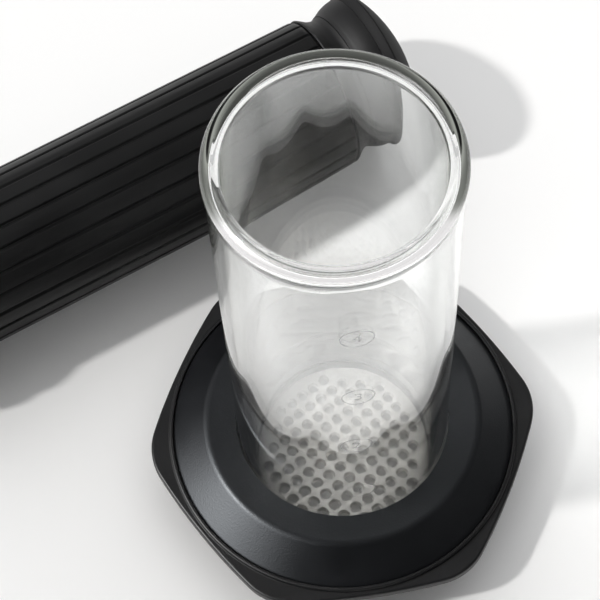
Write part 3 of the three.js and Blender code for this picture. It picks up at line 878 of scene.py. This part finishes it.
FINISH = {
    "plate": grained("black plate coat", (0.004, 0.004, 0.0045), (0.007, 0.007, 0.0077),
                     rough=(0.36, 0.42), grain=1500.0, bump=0.25, specks=0.03, specular=0.42),
    "dome": grained("blasted black dome", (0.005, 0.0052, 0.006), (0.008, 0.0083, 0.0095),
                    rough=(0.3, 0.36), grain=1700.0, bump=0.5, specks=0.04,
                    specular_tint=(0.9, 0.95, 1)),
    "ribs": grained("satin black ribs", (0.003, 0.003, 0.0032), (0.005, 0.005, 0.0053),
                    rough=(0.4, 0.48), grain=1500.0, bump=0.1, specks=0.025, specular=0.28),
    "handle": grained("satin black handle", (0.006, 0.006, 0.0064), (0.009, 0.009, 0.0096),
                      rough=(0.5, 0.58), grain=1700.0, bump=0.12, specular=0.28),
    "end": grained("satin black end", (0.005, 0.005, 0.0054), (0.008, 0.008, 0.0086),
                   rough=(0.62, 0.7), grain=1700.0, bump=0.12, specular=0.19),
    "moulded": grained("moulded black plastic", (0.014, 0.014, 0.014), (0.02, 0.02, 0.02),
                       rough=(0.55, 0.7), grain=1800.0, bump=0.3),
    "silicone": grained("dark silicone", (0.02, 0.02, 0.021), (0.03, 0.03, 0.031),
                        rough=(0.65, 0.8), grain=1500.0, bump=0.15),
    "steel": grained("satin steel", (0.7, 0.68, 0.655), (0.78, 0.76, 0.735),
                     rough=(0.3, 0.42), grain=1400.0, bump=0.15, metallic=0.5, slow=120.0),
    "hole": hole_wall(),
    "screw": grained("bright screw steel", (0.45, 0.45, 0.45), (0.55, 0.55, 0.55),
                     rough=(0.3, 0.4), grain=1400.0, bump=0.1, metallic=1.0),
    "glass": clear_glass(),
    "mark": printed_mark(),
}


def dress(thing, body, finish, *nodes):
    thing.data.materials.clear()
    thing.data.materials.append(FINISH[finish])
    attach(thing, body)
    if nodes:
        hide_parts(*nodes)


dress(glass_tube(), "chamber", "glass", "glass_chamber")
dress(flange_plate(), "chamber", "plate", "hex_flange")
dress(flange_dome(), "chamber", "dome", "flange_cone")
disc = perforated_disc()
dress(disc, "filter_cap", "steel", "filter_disc")
disc.data.materials.append(FINISH["hole"])
dress(ribbed_grip(), "plunger", "ribs", "ribbed_sleeve")
dress(shoulder_collar(), "plunger", "handle", "sleeve_collar")
dress(trumpet_flare(), "plunger", "handle", "handle_trumpet")
dress(domed_end(), "plunger", "end", "handle_cap")
dress(silicone_seal(), "seal", "silicone", "plunger_seal")
for number, (height, turn) in enumerate(MARKS, start=1):
    dress(level_mark(number, height, turn), "chamber", "mark")

KEPT = {
    "moulded": ("chamber_base", "cap_ring", "core_tube", "seal_carrier"),
    "silicone": ("foot_gasket", "side_seal", "carrier_o_ring"),
    "screw": ("handle_screw_1", "handle_screw_2", "handle_screw_3"),
}
for finish, nodes in KEPT.items():
    for node in nodes:
        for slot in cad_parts[node].material_slots:
            slot.link = "OBJECT"
            slot.material = FINISH[finish]


# Table, light and camera

def surroundings(tree, path):
    """Strength of painted light, a glow on the table round it that only the glass shows.

    It is weaker in the plunger's shade and near the foot, and fades with distance.
    """
    place = add(tree, "ShaderNodeTexCoord")
    from_axis = vector_maths(tree, "SUBTRACT", place.outputs["Object"],
                             STAND.translation)["Vector"]
    reach = vector_maths(tree, "LENGTH", from_axis)["Value"]
    beside_plunger = (math.sin(PLUNGER_BEARING), -math.cos(PLUNGER_BEARING), 0)
    across = vector_maths(tree, "DOT_PRODUCT", from_axis, beside_plunger)["Value"]
    sides = add(tree, "ShaderNodeSeparateXYZ")
    tree.links.new(from_axis, sides.inputs["Vector"])
    depth = sides.outputs["Y"]
    sunny = spread(tree, across, SHADE_SPAN, SHADE_SHARE * THROUGH_GLASS, THROUGH_GLASS)
    open_back = spread(tree, depth, BEHIND_SPAN, 0.0, sunny)
    through = spread(tree, reach, THROUGH_SPAN, 0.0, open_back)
    open_front = spread(tree, depth, BEFORE_SPAN,
                        FAR_SIDE_SHARE * BACK_FROM_GLASS, BACK_FROM_GLASS)
    turned_back = spread(tree, reach, TURNED_SPAN, 0.0, open_front)
    chosen = spread(tree, path.outputs["Glossy Depth"], (0.0, 1.0), through, turned_back)
    return maths(tree, "MULTIPLY", path.outputs["Is Transmission Ray"],
                 spread(tree, reach, FADE_SPAN, chosen, 0.0))


def table_top():
    half = 3.0
    below_parts = 0.00005
    bm = bmesh.new()
    bm.faces.new([
        bm.verts.new((x * half, y * half, 0)) for x, y in ((-1, -1), (1, -1), (1, 1), (-1, 1))
    ])
    top = finished("table_top", bm, Matrix.Translation((0, 0, -below_parts)))
    material, tree, shader = plain_material("white table")
    shader.inputs["Roughness"].default_value = 0.7
    shader.inputs["Specular IOR Level"].default_value = 0.2
    shader.inputs["Emission Color"].default_value = (1, 1, 1, 1)
    path = add(tree, "ShaderNodeLightPath")
    white = mixed(tree, path.outputs["Is Camera Ray"], (0.9, 0.9, 0.9, 1), (0.96, 0.96, 0.96, 1))
    tree.links.new(white, shader.inputs["Base Color"])
    # Painted light: the table glows only for rays that come through the glass
    tree.links.new(surroundings(tree, path), shader.inputs["Emission Strength"])
    top.data.materials.append(material)


def heading(turn, rise):
    """A direction from its turn about the upright axis and its rise, in degrees."""
    turn, rise = math.radians(turn), math.radians(rise)
    return Vector((
        math.cos(rise) * math.cos(turn), math.cos(rise) * math.sin(turn), math.sin(rise)
    ))


def sky(tree, base, *patches):
    """Strength of the sky: the base and its soft patches."""
    place = add(tree, "ShaderNodeTexCoord")
    total = base
    for turn, rise, focus, gain in patches:
        towards = vector_maths(
            tree, "DOT_PRODUCT", place.outputs["Generated"], heading(turn, rise)
        )["Value"]
        facing = maths(tree, "MAXIMUM", towards, 0)
        total = maths(tree, "MULTIPLY_ADD", maths(tree, "POWER", facing, focus), gain, total)
    return total


def studio():
    """A white room to look at, a soft sky that lights and mirrors, and direct light."""
    scene = bpy.context.scene
    world = bpy.data.worlds.new("studio")
    scene.world = world
    world.use_nodes = True
    tree = world.node_tree
    tree.nodes.clear()
    link = tree.links.new
    path = add(tree, "ShaderNodeLightPath")

    def background(strength):
        node = add(tree, "ShaderNodeBackground")
        node.inputs["Color"].default_value = (1, 1, 1, 1)
        link(strength, node.inputs["Strength"])
        return node.outputs["Background"]

    seen = background(spread(tree, path.outputs["Glossy Depth"], (0.0, 1.0), SEEN_SKY, TURNED_SKY))
    mirrored = background(sky(tree, *MIRRORED_SKY))
    lit = background(sky(tree, *LIT_SKY))
    unseen = either(tree, path.outputs["Is Glossy Ray"], lit, mirrored)
    direct = maths(tree, "MAXIMUM", path.outputs["Is Camera Ray"],
                   path.outputs["Is Transmission Ray"])
    output = add(tree, "ShaderNodeOutputWorld")
    link(either(tree, direct, unseen, seen), output.inputs["Surface"])

    sun = bpy.data.lights.new("direct_light", "SUN")
    sun.energy = SUN_STRENGTH
    sun.angle = SUN_WIDTH
    sun.color = SUN_COLOUR
    lamp = bpy.data.objects.new(sun.name, sun)
    travel = heading(*SUN_TRAVEL)
    lamp.rotation_mode = "QUATERNION"
    lamp.rotation_quaternion = travel.to_track_quat("-Z", "Y")
    lamp.location = -travel
    scene.collection.objects.link(lamp)


def photo_camera():
    scene = bpy.context.scene
    data = bpy.data.cameras.new("camera")
    data.sensor_width = SENSOR
    data.lens = FOCAL_PIXELS / PHOTO_WIDTH * SENSOR
    data.clip_start, data.clip_end = 0.01, 50
    camera = bpy.data.objects.new("camera", data)
    pitch, yaw, roll = CAMERA_PITCH, CAMERA_YAW, CAMERA_ROLL
    forward = Vector((
        math.sin(yaw) * math.cos(pitch), math.cos(yaw) * math.cos(pitch), -math.sin(pitch)
    ))
    level = Vector((math.cos(yaw), -math.sin(yaw), 0))
    upright = level.cross(forward)
    right = math.cos(roll) * level + math.sin(roll) * upright
    up = math.cos(roll) * upright - math.sin(roll) * level
    spot = STAND @ Vector(CAMERA_PLACE)
    camera.matrix_world = Matrix((
        (right.x, up.x, -forward.x, spot.x),
        (right.y, up.y, -forward.y, spot.y),
        (right.z, up.z, -forward.z, spot.z),
        (0, 0, 0, 1),
    ))
    scene.collection.objects.link(camera)
    scene.camera = camera


table_top()
studio()
photo_camera()
bpy.context.scene.view_settings.view_transform = "Standard"
